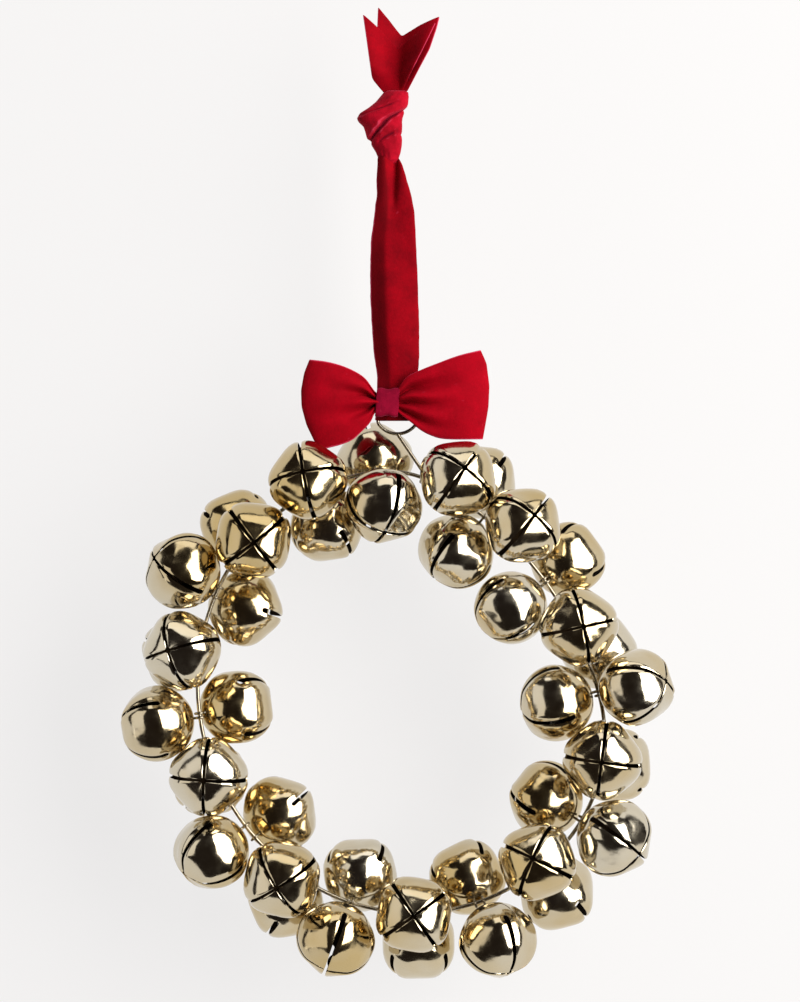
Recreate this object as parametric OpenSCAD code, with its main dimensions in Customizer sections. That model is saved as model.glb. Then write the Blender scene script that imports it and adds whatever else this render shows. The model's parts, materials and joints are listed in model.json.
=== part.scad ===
/* [Bell] */
// Radius of the bell's dome
bell_r = 17; // [16:0.1:17]
// Radius of the bell at the ends of its slits
corner_r = 18.2; // [17.6:0.1:18.4]
// Thickness of the bell's sheet steel
shell_t = 0.5; // [0.4:0.1:0.8]
// Width of the crossed slits
slit_w = 1.8; // [1.4:0.1:2.4]
// How far the slits run past the bell's widest circle
slit_past = 5; // [3:0.5:7]
// Radius of the opening where the slits cross
slit_mid_r = 2; // [1.5:0.1:2.6]
// Radius of the loose steel ball
ball_r = 4; // [3:0.1:4.2]
// How far the ball rests below the middle of its bell
ball_drop = 11.2; // [8:0.1:11.2]

/* [Loop of the bell] */
// Distance from the wire to the middle of the bell
hang = 20; // [19.8:0.1:21]
// Middle radius of the loop round the wire
loop_r = 1.9; // [1.8:0.1:2]
// Radius of the loop's own wire
loop_wire_r = 0.6; // [0.5:0.05:0.65]
// Radius of the loop's neck
neck_r = 1.1; // [0.8:0.1:1.4]

/* [Wire] */
// Radius of the ring's steel wire
wire_r = 0.9; // [0.8:0.05:1]
// Distance of the ring's top to the right of the hook
ring_x = -2; // [-6:1:6]
// Drop from the hook to the ring's top
ring_drop = 142; // [140:1:146]
// Radius of the flattened stretch at the upper right
ring_flat_r = 160; // [150:5:170]
// Radius of the bend at the top
ring_top_r = 48; // [46:1:50]
// Radius of the bend at the upper left
ring_left_top_r = 95; // [93:1:97]
// Radius of the bend at the lower left
ring_left_low_r = 108; // [106:1:110]

/* [Hanger] */
// Radius of the hanger's wire
eye_wire_r = 0.8; // [0.6:0.05:0.9]
// Distance of the eye's middle to the right of the hook
eye_x = 3; // [1:0.5:5]
// Drop from the hook to the eye's bar
eye_drop = 115.5; // [114:0.5:117]
// Radius of the eye's two corners
eye_corner_r = 2.6; // [2.4:0.1:3]
// Radius of the eye's rounded bottom
eye_low_r = 10.5; // [10:0.1:11]
// Distance of the hook along the ring from its top
hook_at = 17; // [16:0.5:18]
// Middle radius of the hook round the ring's wire
hook_r = 2.1; // [2:0.1:2.4]

/* [Ribbon] */
// Width of the hanging ribbon
ribbon_w = 22; // [20:0.5:23]
// Thickness of the velvet
ribbon_t = 0.8; // [0.6:0.1:1]
// Gap between the strands at the hook
loop_gap = 8; // [6:0.5:9]
// Gap between the strands above the eye
low_gap = 3.2; // [3:0.1:3.6]

/* [Bow] */
// Thickness of a wing in its middle
wing_t = 7; // [6:0.5:7]
// Thickness of a wing at the band
waist_t = 4; // [3:0.5:5]
// How far the bow's middle plane sits in front of the hook
bow_out = 6.2; // [6.2:0.1:7]
// Width of the band round the bow's waist
band_w = 10.8; // [9:0.2:10.8]
// Height of the band
band_h = 12.8; // [12:0.2:14]

/* [Hidden] */
$fn = 96;
steel = [0.80, 0.74, 0.62];
dark_steel = [0.30, 0.28, 0.26];
velvet = [0.65, 0.02, 0.07];
satin = [0.75, 0.02, 0.12];

// Each bell: name, distance of its loop along the wire from the ring's top going clockwise,
// turn about the wire (0 front, 90 outwards, 180 back, 270 inwards), roll about its own axis,
// and the way it faces
BELLS = [
    ["front_bell_1", 31, 20, 85, "front"],
    ["back_bell_1", 40, 145, 10, "back"],
    ["inner_bell_1", 51, 270, 20, "inner"],
    ["outer_bell_1", 66, 25, 5, "outer"],
    ["outer_bell_2", 91, 135, 45, "outer"],
    ["inner_bell_2", 93, 270, 50, "inner"],
    ["front_bell_2", 117, 5, 75, "front"],
    ["back_bell_2", 133, 160, 30, "back"],
    ["inner_bell_3", 149, 275, 65, "inner"],
    ["outer_bell_3", 151, 55, 50, "outer"],
    ["front_bell_3", 180, -5, 0, "front"],
    ["back_bell_3", 184, 160, 30, "back"],
    ["outer_bell_4", 210, 50, 80, "outer"],
    ["inner_bell_4", 212, 245, 65, "inner"],
    ["front_bell_4", 239, -15, 25, "front"],
    ["back_bell_4", 242, 130, 75, "back"],
    ["outer_bell_5", 271, 65, 65, "outer"],
    ["inner_bell_5", 275, 210, 35, "inner"],
    ["back_bell_5", 302, 130, 45, "back"],
    ["front_bell_5", 304, -5, 35, "front"],
    ["inner_bell_6", 333, 215, 20, "inner"],
    ["outer_bell_6", 335, 55, 0, "outer"],
    ["back_bell_6", 359, 135, 85, "back"],
    ["front_bell_6", 367, 10, 70, "front"],
    ["inner_bell_7", 388, 225, 0, "inner"],
    ["outer_bell_7", 395, 70, 40, "outer"],
    ["back_bell_7", 421, 165, 65, "back"],
    ["front_bell_7", 424, 5, 65, "front"],
    ["outer_bell_8", 450, 95, 35, "outer"],
    ["inner_bell_8", 452, 235, 45, "inner"],
    ["back_bell_8", 478, 150, 15, "back"],
    ["front_bell_8", 481, 20, 25, "front"],
    ["inner_bell_9", 507, 225, 80, "inner"],
    ["outer_bell_9", 512, 60, 75, "outer"],
    ["back_bell_9", 538, 155, 75, "back"],
    ["front_bell_9", 540, -5, 80, "front"],
    ["inner_bell_10", 574, 235, 75, "inner"],
    ["front_bell_10", 576, 15, 75, "front"],
    ["back_bell_10", 606, 165, 85, "back"],
    ["front_bell_11", 609, -50, 65, "front"]
];

// Hairline between the loop's neck and the dome, which are separate pieces
seam = 0.05;
// How fast the petals' corners draw in above the widest circle
corner_taper = 0.22;
// How much thicker than its wire a bead is
bead = 0.05;

// Balls are grouped by the way their bells face
GROUPS = ["front", "outer", "inner", "back"];

SOFT = ["ribbon_loop", "ribbon_knot", "ribbon_left_tail", "ribbon_right_tail",
        "bow_left_wing", "bow_right_wing", "bow_band"];

// ---------- a closed wire made of arcs that meet in line ----------
// turns: the directions, in degrees anticlockwise, where one arc ends and the next begins
// radii: the radius of each arc but the last two, which follow because the wire closes

function dir(a) = [cos(a), sin(a)];

function ends(turns) = concat(turns, [turns[0] + 360]);

function spans(turns) = let (e = ends(turns)) [for (i = [0:len(turns) - 1]) dir(e[i + 1]) - dir(e[i])];

function dot_sum(radii, d, i = 0) =
    i == len(radii) ? [0, 0] : radii[i] * d[i] + dot_sum(radii, d, i + 1);

function cross2(a, b) = a[0] * b[1] - a[1] * b[0];

function all_radii(turns, radii) =
    let (d = spans(turns),
         n = len(radii),
         gap = -dot_sum(radii, d),
         det = cross2(d[n], d[n + 1]))
    concat(radii, [cross2(gap, d[n + 1]) / det, cross2(d[n], gap) / det]);

// Middle of arc i, counted from the middle of arc 0
function mid_of(turns, r, i) =
    i == 0 ? [0, 0] : mid_of(turns, r, i - 1) + (r[i - 1] - r[i]) * dir(turns[i]);

// Each bend meets the next in a bead, a hairline thicker than the wire, that keeps the wire in one piece
module bent_wire(turns, r, at, wire) {
    e = ends(turns);
    for (i = [0:len(turns) - 1])
        translate([at[0], 0, at[1]] + to_xz(mid_of(turns, r, i)))
            rotate([90, 0, 0])
                rotate([0, 0, e[i]])
                    rotate_extrude(angle = e[i + 1] - e[i])
                        translate([r[i], 0])
                            circle(r = wire);
    for (i = [0:len(turns) - 1])
        translate([at[0], 0, at[1]] + to_xz(mid_of(turns, r, i) + r[i] * dir(turns[i])))
            sphere(r = wire + bead);
}

function to_xz(p) = [p[0], 0, p[1]];

// ---------- the ring ----------

RING_TURNS = [15, 60, 100, 160, 240, 320];
RING_RADII = all_radii(RING_TURNS, [ring_flat_r, ring_top_r, ring_left_top_r, ring_left_low_r]);
TOP_ARC = 1;
RING_AT = [ring_x, -ring_drop] - [0, ring_top_r] - mid_of(RING_TURNS, RING_RADII, TOP_ARC);

// The ring's arcs in clockwise order from its top: start direction, end direction, arc number
RUNS = [[90, 60, 1], [60, 15, 0], [15, -40, 5], [-40, -120, 4], [-120, -200, 3], [-200, -260, 2],
        [-260, -270, 1]];

function run_length(k) = (RUNS[k][0] - RUNS[k][1]) * PI / 180 * RING_RADII[RUNS[k][2]];

// Run that holds the point at distance s, and the distance left in it
function find_run(s, k = 0) =
    (s <= run_length(k) || k == len(RUNS) - 1) ? [k, s] : find_run(s - run_length(k), k + 1);

function dir_at(s) =
    let (f = find_run(s), run = RUNS[f[0]])
    run[0] - f[1] / RING_RADII[run[2]] * 180 / PI;

function ring_point(s) =
    let (arc = RUNS[find_run(s)[0]][2])
    RING_AT + mid_of(RING_TURNS, RING_RADII, arc) + RING_RADII[arc] * dir(dir_at(s));

// Frame on the wire: X outwards, Y to the back, Z along the wire
module on_wire(s) {
    translate(to_xz(ring_point(s)))
        rotate([0, -dir_at(s), 0])
            children();
}

module wire_ring() {
    color(dark_steel)
        bent_wire(RING_TURNS, RING_RADII, RING_AT, wire_r);
}

// ---------- the bells ----------

// How far the dome's own centre lies above the bell's middle, so that it reaches c at the widest circle
function dome_rise(r, c) = (c * c - r * r) / (2 * r);

// Solid outline of a bell with radius r and corners at c
module bell_solid(r, c) {
    dome(r, c);
    vault(r, c);
}

// Half below the widest circle: a round dome with four flattened sides at its rim
module dome(r, c) {
    intersection() {
        translate([0, 0, dome_rise(r, c)])
            sphere(r = r + dome_rise(r, c));
        rotate([0, 0, 45])
            translate([-r, -r, -2 * r])
                cube([2 * r, 2 * r, 2 * r]);
    }
}

// Half above it: four petals bent one way only, their corners drawn in by a cone
module vault(r, c) {
    intersection() {
        cylinder(r1 = c, r2 = c - r * corner_taper, h = r);
        bent_side(r, 45);
        bent_side(r, -45);
    }
}

module bent_side(r, a) {
    rotate([0, 0, a])
        rotate([0, 90, 0])
            cylinder(r = r, h = 4 * r, center = true);
}

module slits() {
    reach = 4 * bell_r;
    for (a = [0, 90])
        rotate([0, 0, a])
            translate([-reach / 2, -slit_w / 2, -slit_past])
                cube([reach, slit_w, reach]);
    cylinder(r = slit_mid_r, h = reach);
}

module bell_shell() {
    difference() {
        bell_solid(bell_r, corner_r);
        bell_solid(bell_r - shell_t, corner_r - shell_t);
        slits();
    }
}

// Wire loop on the dome, round the ring's wire
module bell_loop() {
    difference() {
        union() {
            rotate_extrude()
                translate([loop_r, 0])
                    circle(r = loop_wire_r);
            translate([loop_r, 0, 0])
                rotate([0, 90, 0])
                    cylinder(r = neck_r, h = hang - bell_r);
        }
        translate([hang - dome_rise(bell_r, corner_r), 0, 0])
            sphere(r = bell_r + dome_rise(bell_r, corner_r) + seam);
    }
}

module bell(b) {
    on_wire(b[1])
        rotate([0, 0, b[2] - 90]) {
            color(steel)
                translate([hang, 0, 0])
                    rotate([0, 90, 0])
                        rotate([0, 0, b[3]])
                            bell_shell();
            color(dark_steel)
                bell_loop();
        }
}

// Middle of a bell
function bell_mid(b) =
    let (p = ring_point(b[1]), n = dir(dir_at(b[1])) * hang * sin(b[2]))
    [p[0] + n[0], -hang * cos(b[2]), p[1] + n[1]];

module rattle_balls(g) {
    color(dark_steel)
        for (b = BELLS)
            if (b[4] == g)
                translate(bell_mid(b) - [0, 0, ball_drop])
                    sphere(r = ball_r);
}

// ---------- the hanger ----------

EYE_TURNS = [215, 325, 440, 460];
EYE_RADII = all_radii(EYE_TURNS, [eye_low_r, eye_corner_r]);
BAR_ARC = 2;
EYE_AT = [eye_x, -eye_drop] - EYE_RADII[BAR_ARC] * dir(90) - mid_of(EYE_TURNS, EYE_RADII, BAR_ARC);
EYE_LOW = EYE_AT + EYE_RADII[0] * dir(270);

// Round rod between two points
module rod(a, b, r) {
    d = b - a;
    translate(a)
        rotate([0, acos(d[2] / norm(d)), atan2(d[1], d[0])])
            cylinder(r = r, h = norm(d));
}

module hanger_eye() {
    hook_top = ring_point(hook_at) + hook_r * dir(dir_at(hook_at));
    color(dark_steel) {
        bent_wire(EYE_TURNS, EYE_RADII, EYE_AT, eye_wire_r);
        rod(to_xz(EYE_LOW), to_xz(hook_top), eye_wire_r);
        on_wire(hook_at)
            rotate_extrude()
                translate([hook_r, 0])
                    circle(r = eye_wire_r);
    }
}

// ---------- the ribbon ----------

// Width of the ribbon where it is gathered into the eye
bight_w = 14;
// Half the gap inside the bight
bight_gap = low_gap / 2 + 0.3;
bight_z = -eye_drop - 0.4;

// How far the hook's end draws the strands together
hook_pinch = 1.6;
// Gap between a wing's waist and the inside of the band
waist_gap = 0.2;
// Half the distance between the two tails
tail_gap = 1.4;
// Middle of the band and of the bow
bow_mid = [-1.1, -110.2];

// Side of one strand from the hook down: height and distance from the hook's plane
STRAND_SIDE = [[0, loop_gap / 2 - hook_pinch], [-7, loop_gap / 2], [-24, loop_gap / 2], [-70, low_gap],
               [-98, bight_gap], [bight_z, bight_gap]];

// Front outline of the strands: left edge going down, then right edge going up
STRAND_FRONT = [[-6, 2], [-6, -8], [-9, -26], [-10, -65], [-8, -98], [-4.5, bight_z],
                [10, bight_z], [10.5, -98], [13, -65], [11.5, -24], [5.5, -8], [5, 2]];

module side_of(points, w) {
    rotate([90, 0, 90])
        translate([0, 0, -w])
            linear_extrude(height = 2 * w)
                polygon(points);
}

module front_of(points, t) {
    rotate([90, 0, 0])
        translate([0, 0, -t])
            linear_extrude(height = 2 * t)
                polygon(points);
}

module strand() {
    front = [for (p = STRAND_SIDE) [-p[1], p[0]]];
    back = [for (i = [len(STRAND_SIDE) - 1:-1:0]) [-STRAND_SIDE[i][1] - ribbon_t, STRAND_SIDE[i][0]]];
    intersection() {
        side_of(concat(front, back), ribbon_w);
        front_of(STRAND_FRONT, ribbon_w);
    }
}

// Turn of the ribbon under the eye's bar
module bight() {
    intersection() {
        translate([eye_x - bight_w / 2, 0, bight_z])
            rotate([0, 90, 0])
                difference() {
                    cylinder(r = bight_gap + ribbon_t, h = bight_w);
                    translate([0, 0, -1])
                        cylinder(r = bight_gap, h = bight_w + 2);
                }
        translate([-ribbon_w, -ribbon_w, bight_z - ribbon_w])
            cube([3 * ribbon_w, 2 * ribbon_w, ribbon_w]);
    }
}

module ribbon_loop() {
    color(velvet) {
        strand();
        mirror([0, 1, 0])
            strand();
        bight();
    }
}

// Folds of the knot: place and radius of the rounded corners they wrap round
KNOT = [[-11.5, 0, 20.5, 4], [-5, -3, 8, 5.5], [2, 3, 8, 5.5], [2, -2, 25, 5], [-2, 2, 28, 5],
        [-2.5, 0, 4.3, 4], [3, 0, 4.3, 4]];
tail_base = 33.3;

module ribbon_knot() {
    color(velvet)
        hull()
            for (p = KNOT)
                translate([p[0], p[1], p[2]])
                    sphere(r = p[3], $fn = 28);
}

// Tail ends are cut to a notch
module ribbon_left_tail() {
    color(velvet)
        translate([0, -tail_gap, 0])
            front_of([[-4, tail_base], [-10, 50], [-13, 69], [-6, 73], [0, 62], [6, 60], [8, tail_base]], ribbon_t / 2);
}

module ribbon_right_tail() {
    color(velvet)
        translate([0, tail_gap, 0])
            front_of([[-2, tail_base], [-6, 52], [-7, 72.6], [5, 61], [22.6, 68.6], [18, 50], [8, tail_base]], ribbon_t / 2);
}

// ---------- the bow ----------

// Thickness of a wing from the band outwards
module wing_depth(reach) {
    translate([0, -bow_out, -2 * eye_drop])
        linear_extrude(height = 2 * eye_drop)
            polygon([[5, -waist_t / 2], [reach / 2, -wing_t / 2], [reach, -wing_t / 4],
                     [reach, wing_t / 4], [reach / 2, wing_t / 2], [5, waist_t / 2]]);
}

module bow_left_wing() {
    color(satin)
        intersection() {
            front_of([[-6.8, -105], [-22, -97], [-38, -90.5], [-42, -107], [-34, -130.4],
                      [-19, -128], [-6.8, -117]], 2 * ribbon_w);
            mirror([1, 0, 0])
                wing_depth(44);
        }
}

module bow_right_wing() {
    color(satin)
        intersection() {
            front_of([[4.8, -104.5], [19, -94], [42, -86.2], [46, -103], [42.2, -127],
                      [30, -127], [17, -123], [4.8, -115.5]], 2 * ribbon_w);
            wing_depth(48);
        }
}

module bow_band() {
    inner = [2 * band_w, waist_t + 2 * waist_gap, band_h - 2 * ribbon_t];
    color(satin)
        translate([bow_mid[0], -bow_out, bow_mid[1]])
            difference() {
                cube([band_w, inner[1] + 2 * ribbon_t, band_h], center = true);
                cube(inner, center = true);
            }
}

wire_ring();
hanger_eye();
ribbon_loop();
ribbon_knot();
ribbon_left_tail();
ribbon_right_tail();
bow_left_wing();
bow_right_wing();
bow_band();
for (b = BELLS) bell(b);
for (g = GROUPS) rattle_balls(g);
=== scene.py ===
"""Builds a hanging wreath of jingle bells, its ribbon and its bow round the working frame."""

import json
import math
import random

import bpy
from bpy.props import FloatProperty, FloatVectorProperty, PointerProperty
from mathutils import Matrix, Vector, noise


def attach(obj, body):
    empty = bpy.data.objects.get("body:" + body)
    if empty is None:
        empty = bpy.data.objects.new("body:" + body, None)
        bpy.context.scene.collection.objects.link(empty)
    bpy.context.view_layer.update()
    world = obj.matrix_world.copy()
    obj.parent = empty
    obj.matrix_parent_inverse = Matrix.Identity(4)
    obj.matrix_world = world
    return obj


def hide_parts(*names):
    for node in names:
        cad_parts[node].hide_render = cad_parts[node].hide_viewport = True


bl_info = {
    "name": "Jingle Bell Wreath",
    "version": (1, 0, 0),
    "blender": (4, 5, 0),
    "location": "View3D > Sidebar > Bell Wreath",
    "description": "Builds a wreath of jingle bells on a wire, hung from a velvet ribbon with a bow",
    "category": "Object",
}

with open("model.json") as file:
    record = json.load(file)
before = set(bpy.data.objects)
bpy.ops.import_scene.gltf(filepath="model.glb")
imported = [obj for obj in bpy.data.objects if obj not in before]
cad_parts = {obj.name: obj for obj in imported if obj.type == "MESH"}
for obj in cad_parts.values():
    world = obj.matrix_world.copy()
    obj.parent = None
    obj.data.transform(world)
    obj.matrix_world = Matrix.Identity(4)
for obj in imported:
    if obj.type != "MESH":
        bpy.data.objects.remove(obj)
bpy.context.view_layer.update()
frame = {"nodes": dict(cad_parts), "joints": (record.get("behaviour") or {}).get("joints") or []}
JOINTS = {joint["child"]: joint for joint in frame["joints"]}
MM = 0.001

# Each bell's turn about the wire (0 front, 90 outwards, 180 back, 270 inwards) and its roll, in degrees
BELL_POSES = {
    "front_bell_1": (20, 85), "front_bell_2": (5, 75), "front_bell_3": (-5, 0), "front_bell_4": (-15, 25),
    "front_bell_5": (-5, 35), "front_bell_6": (10, 70), "front_bell_7": (5, 65), "front_bell_8": (20, 25),
    "front_bell_9": (-5, 80), "front_bell_10": (15, 75), "front_bell_11": (-50, 65),
    "outer_bell_1": (25, 5), "outer_bell_2": (135, 45), "outer_bell_3": (55, 50), "outer_bell_4": (50, 80),
    "outer_bell_5": (65, 65), "outer_bell_6": (55, 0), "outer_bell_7": (70, 40), "outer_bell_8": (95, 35),
    "outer_bell_9": (60, 75),
    "inner_bell_1": (270, 20), "inner_bell_2": (270, 50), "inner_bell_3": (275, 65), "inner_bell_4": (245, 65),
    "inner_bell_5": (210, 35), "inner_bell_6": (215, 20), "inner_bell_7": (225, 0), "inner_bell_8": (235, 45),
    "inner_bell_9": (225, 80), "inner_bell_10": (235, 75),
    "back_bell_1": (145, 10), "back_bell_2": (160, 30), "back_bell_3": (160, 30), "back_bell_4": (130, 75),
    "back_bell_5": (130, 45), "back_bell_6": (135, 85), "back_bell_7": (165, 65), "back_bell_8": (150, 15),
    "back_bell_9": (155, 75), "back_bell_10": (165, 85),
}
HANG = 20 * MM  # from the ring wire's middle to a bell's middle
PETALS = 4
MIDDLE_TO_SLIT = math.pi / PETALS


# ---------- colours, nodes and meshes ----------


def linear(code):
    """An sRGB hex colour as linear red, green, blue and a full alpha."""
    channels = [int(code[i : i + 2], 16) / 255 for i in (1, 3, 5)]
    return [c / 12.92 if c <= 0.04045 else ((c + 0.055) / 1.055) ** 2.4 for c in channels] + [1.0]


def add(tree, kind, settings=None, **sockets):
    """Adds a node, sets its own settings, and fills or links the sockets named."""
    node = tree.nodes.new(kind)
    for key, value in (settings or {}).items():
        setattr(node, key, value)
    for key, value in sockets.items():
        socket = node.inputs[int(key[1:])] if key[0] == "_" else node.inputs[key.replace("_", " ")]
        if isinstance(value, bpy.types.NodeSocket):
            tree.links.new(value, socket)
        else:
            socket.default_value = value
    return node


def blank_material(name):
    """A new material with an empty node tree, and that tree."""
    material = bpy.data.materials.new(name)
    material.use_nodes = True
    material.node_tree.nodes.clear()
    return material, material.node_tree


def finish_material(tree, surface):
    """Ends a material's nodes in its output."""
    add(tree, "ShaderNodeOutputMaterial", Surface=surface)


def smoothstep(low, high, x):
    """A soft step from 0 at low to 1 at high, and from high to low where they are the other way round."""
    t = min(max((x - low) / (high - low), 0.0), 1.0)
    return t * t * (3 - 2 * t)


def along(table, x):
    """Straight-line look-up of x in rows of (x, value, ...), giving the values."""
    rows = sorted(table)
    if x <= rows[0][0]:
        return rows[0][1:]
    for a, b in zip(rows, rows[1:]):
        if x <= b[0]:
            t = (x - a[0]) / (b[0] - a[0])
            return tuple(p + (q - p) * t for p, q in zip(a[1:], b[1:]))
    return rows[-1][1:]


def curve_through(points, count):
    """Evenly spaced points on a smooth curve through the given ones."""
    pts = [Vector(p) for p in points]
    pts = [2 * pts[0] - pts[1]] + pts + [2 * pts[-1] - pts[-2]]
    fine = []
    for i in range(1, len(pts) - 2):
        a, b, c, d = pts[i - 1 : i + 3]
        for k in range(12):
            t = k / 12
            bend = (2 * a - 5 * b + 4 * c - d) * t * t + (3 * b - a - 3 * c + d) * t**3
            fine.append(0.5 * (2 * b + (c - a) * t + bend))
    fine.append(pts[-2])
    run = [0.0]
    for a, b in zip(fine, fine[1:]):
        run.append(run[-1] + (b - a).length)
    out, j = [], 0
    for i in range(count):
        want = run[-1] * i / (count - 1)
        while j < len(run) - 2 and run[j + 1] < want:
            j += 1
        t = (want - run[j]) / max(run[j + 1] - run[j], 1e-9)
        out.append(fine[j].lerp(fine[j + 1], min(t, 1.0)))
    return out


def new_piece(name, verts, faces, materials, body, face_slots=None, sharp=()):
    """A mesh piece in metres, smooth shaded, that rides on a body."""
    mesh = bpy.data.meshes.new(name)
    mesh.from_pydata([tuple(v) for v in verts], [], faces)
    mesh.validate()
    for material in materials:
        mesh.materials.append(material)
    mesh.shade_smooth()
    if face_slots:
        mesh.polygons.foreach_set("material_index", face_slots)
    if sharp:
        wanted = {tuple(sorted(e)) for e in sharp}
        for edge in mesh.edges:
            if tuple(sorted(edge.vertices)) in wanted:
                edge.use_edge_sharp = True
    mesh.update()
    piece = bpy.data.objects.new(name, mesh)
    bpy.context.scene.collection.objects.link(piece)
    if body:
        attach(piece, body)
    return piece


def row_faces(rows, across, closed):
    """Four-sided faces between neighbouring rows of points, joined round into a tube where closed."""
    faces = []
    for i in range(rows - 1):
        low, high = i * across, (i + 1) * across
        for j in range(across if closed else across - 1):
            k = (j + 1) % across
            faces.append((low + j, low + k, high + k, high + j))
    return faces


def cloth_piece(name, rows, material, thickness, body, cut):
    """A sheet of cloth from rows of points in millimetres, with its cut laid out in UVs in millimetres."""
    n, m = len(rows), len(rows[0])
    verts = [Vector(p) * MM for row in rows for p in row]
    piece = new_piece(name, verts, row_faces(n, m, closed=False), [material], body)
    layer = piece.data.uv_layers.new(name="cut")
    for loop in piece.data.loops:
        i, j = divmod(loop.vertex_index, m)
        layer.data[loop.index].uv = (j / (m - 1) * cut[0], i / (n - 1) * cut[1])
    thick = piece.modifiers.new("thickness", "SOLIDIFY")
    thick.thickness, thick.offset = thickness * MM, 0
    smooth = piece.modifiers.new("smooth", "SUBSURF")
    smooth.levels = smooth.render_levels = 1
    return piece


def wire_piece(name, path, radius, material, body, sides=12, closed=False):
    """Round wire of that radius along a path, both in metres."""
    n = len(path)
    verts, faces = [], []
    last = None
    for i, p in enumerate(path):
        before, after = path[(i - 1) % n], path[(i + 1) % n]
        if not closed:
            before, after = path[max(i - 1, 0)], path[min(i + 1, n - 1)]
        ahead = (after - before).normalized()
        if last is None:
            last = ahead.orthogonal().normalized()
        last = (last - ahead * last.dot(ahead)).normalized()
        side = ahead.cross(last)
        for k in range(sides):
            a = 2 * math.pi * k / sides
            verts.append(p + radius * (math.cos(a) * last + math.sin(a) * side))
    for i in range(n if closed else n - 1):
        for k in range(sides):
            a, b = i * sides, ((i + 1) % n) * sides
            faces.append((a + k, a + (k + 1) % sides, b + (k + 1) % sides, b + k))
    if not closed:
        faces += [tuple(reversed(range(sides))), tuple(range((n - 1) * sides, n * sides))]
    return new_piece(name, verts, faces, [material], body)


# ---------- materials ----------


def plated_steel(settings):
    """Sheet steel, pale gold plated and tumbled bright: a mirror with soft ripples left by the forming
    and a faint orange peel from the tumbling, its tone drifting a little from thin to thick plating."""
    material, tree = blank_material("pale_gold_plate_tumbled")
    place = add(tree, "ShaderNodeTexCoord").outputs["Object"]
    drift = add(tree, "ShaderNodeTexNoise", Vector=place, Scale=1 / (48 * MM), Detail=3.0)
    share = add(tree, "ShaderNodeMapRange", Value=drift.outputs["Fac"], From_Min=0.35, From_Max=0.65)
    tone = add(tree, "ShaderNodeMix", {"data_type": "RGBA"}, _0=share.outputs["Result"],
               _6=tuple(settings.plating) + (1.0,), _7=tuple(settings.thin_plating) + (1.0,))
    haze = add(tree, "ShaderNodeTexNoise", Vector=place, Scale=1 / (5 * MM), Detail=4.0)
    rough = add(tree, "ShaderNodeMapRange", Value=haze.outputs["Fac"], From_Min=0.3, From_Max=0.75,
                To_Min=0.08, To_Max=0.2)
    ripple = add(tree, "ShaderNodeTexNoise", Vector=place, Scale=1 / (7 * MM), Detail=1.0)
    waves = add(tree, "ShaderNodeBump", Height=ripple.outputs["Fac"], Strength=0.6, Distance=0.5 * MM)
    peel = add(tree, "ShaderNodeTexNoise", Vector=place, Scale=1 / (1.1 * MM), Detail=2.0)
    skin = add(tree, "ShaderNodeBump", Height=peel.outputs["Fac"], Strength=0.35, Distance=0.03 * MM,
               Normal=waves.outputs["Normal"])
    shader = add(tree, "ShaderNodeBsdfPrincipled", Base_Color=tone.outputs[2], Metallic=1.0,
                 Roughness=rough.outputs["Result"], Normal=skin.outputs["Normal"])
    finish_material(tree, shader.outputs["BSDF"])
    return material


def inside_of_bell():
    """The inside of the pressed shell, painted dull brown and nearly black as painted shade in the hollow of
    the bell.
    """
    material, tree = blank_material("pressed_steel_inside_painted_shade")
    place = add(tree, "ShaderNodeTexCoord").outputs["Object"]
    stain = add(tree, "ShaderNodeTexNoise", Vector=place, Scale=1 / (4 * MM), Detail=4.0)
    tone = add(tree, "ShaderNodeMix", {"data_type": "RGBA"}, _0=stain.outputs["Fac"],
               _6=linear("#2A2018"), _7=linear("#4A3A28"))
    shader = add(tree, "ShaderNodeBsdfPrincipled", Base_Color=tone.outputs[2], Metallic=1.0, Roughness=0.55)
    finish_material(tree, shader.outputs["BSDF"])
    return material


def drawn_wire():
    """Steel wire drawn through a die and plated: bright, with streaks that run round and along it, its tone
    painted a darker grey than the plating as painted shade.
    """
    material, tree = blank_material("plated_steel_wire_drawn_painted_dark")
    place = add(tree, "ShaderNodeTexCoord").outputs["Object"]
    streak = add(tree, "ShaderNodeTexNoise", Vector=place, Scale=1 / (2.5 * MM), Detail=5.0, Roughness=0.7)
    # Painted shade: both streak colours are darker greys than the plating, standing in for the shade the wire
    # lies in; the streaks themselves are the drawn grain
    tone = add(tree, "ShaderNodeMix", {"data_type": "RGBA"}, _0=streak.outputs["Fac"],
               _6=linear("#5E574D"), _7=linear("#A89E8A"))
    rough = add(tree, "ShaderNodeMapRange", Value=streak.outputs["Fac"], To_Min=0.14, To_Max=0.36)
    lines = add(tree, "ShaderNodeBump", Height=streak.outputs["Fac"], Strength=0.3, Distance=0.03 * MM)
    shader = add(tree, "ShaderNodeBsdfPrincipled", Base_Color=tone.outputs[2], Metallic=1.0,
                 Roughness=rough.outputs["Result"], Normal=lines.outputs["Normal"])
    finish_material(tree, shader.outputs["BSDF"])
    return material


def ball_steel():
    """Loose steel balls, worn to a grey shine by the knocking inside the bell."""
    material, tree = blank_material("bright_steel_ball_worn")
    place = add(tree, "ShaderNodeTexCoord").outputs["Object"]
    dents = add(tree, "ShaderNodeTexVoronoi", Vector=place, Scale=1 / (1.5 * MM))
    rough = add(tree, "ShaderNodeMapRange", Value=dents.outputs["Distance"], To_Min=0.2, To_Max=0.4)
    pits = add(tree, "ShaderNodeBump", Height=dents.outputs["Distance"], Strength=0.3, Distance=0.02 * MM)
    shader = add(tree, "ShaderNodeBsdfPrincipled", Base_Color=linear("#8C8A86"), Metallic=1.0,
                 Roughness=rough.outputs["Result"], Normal=pits.outputs["Normal"])
    finish_material(tree, shader.outputs["BSDF"])
    return material


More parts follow.
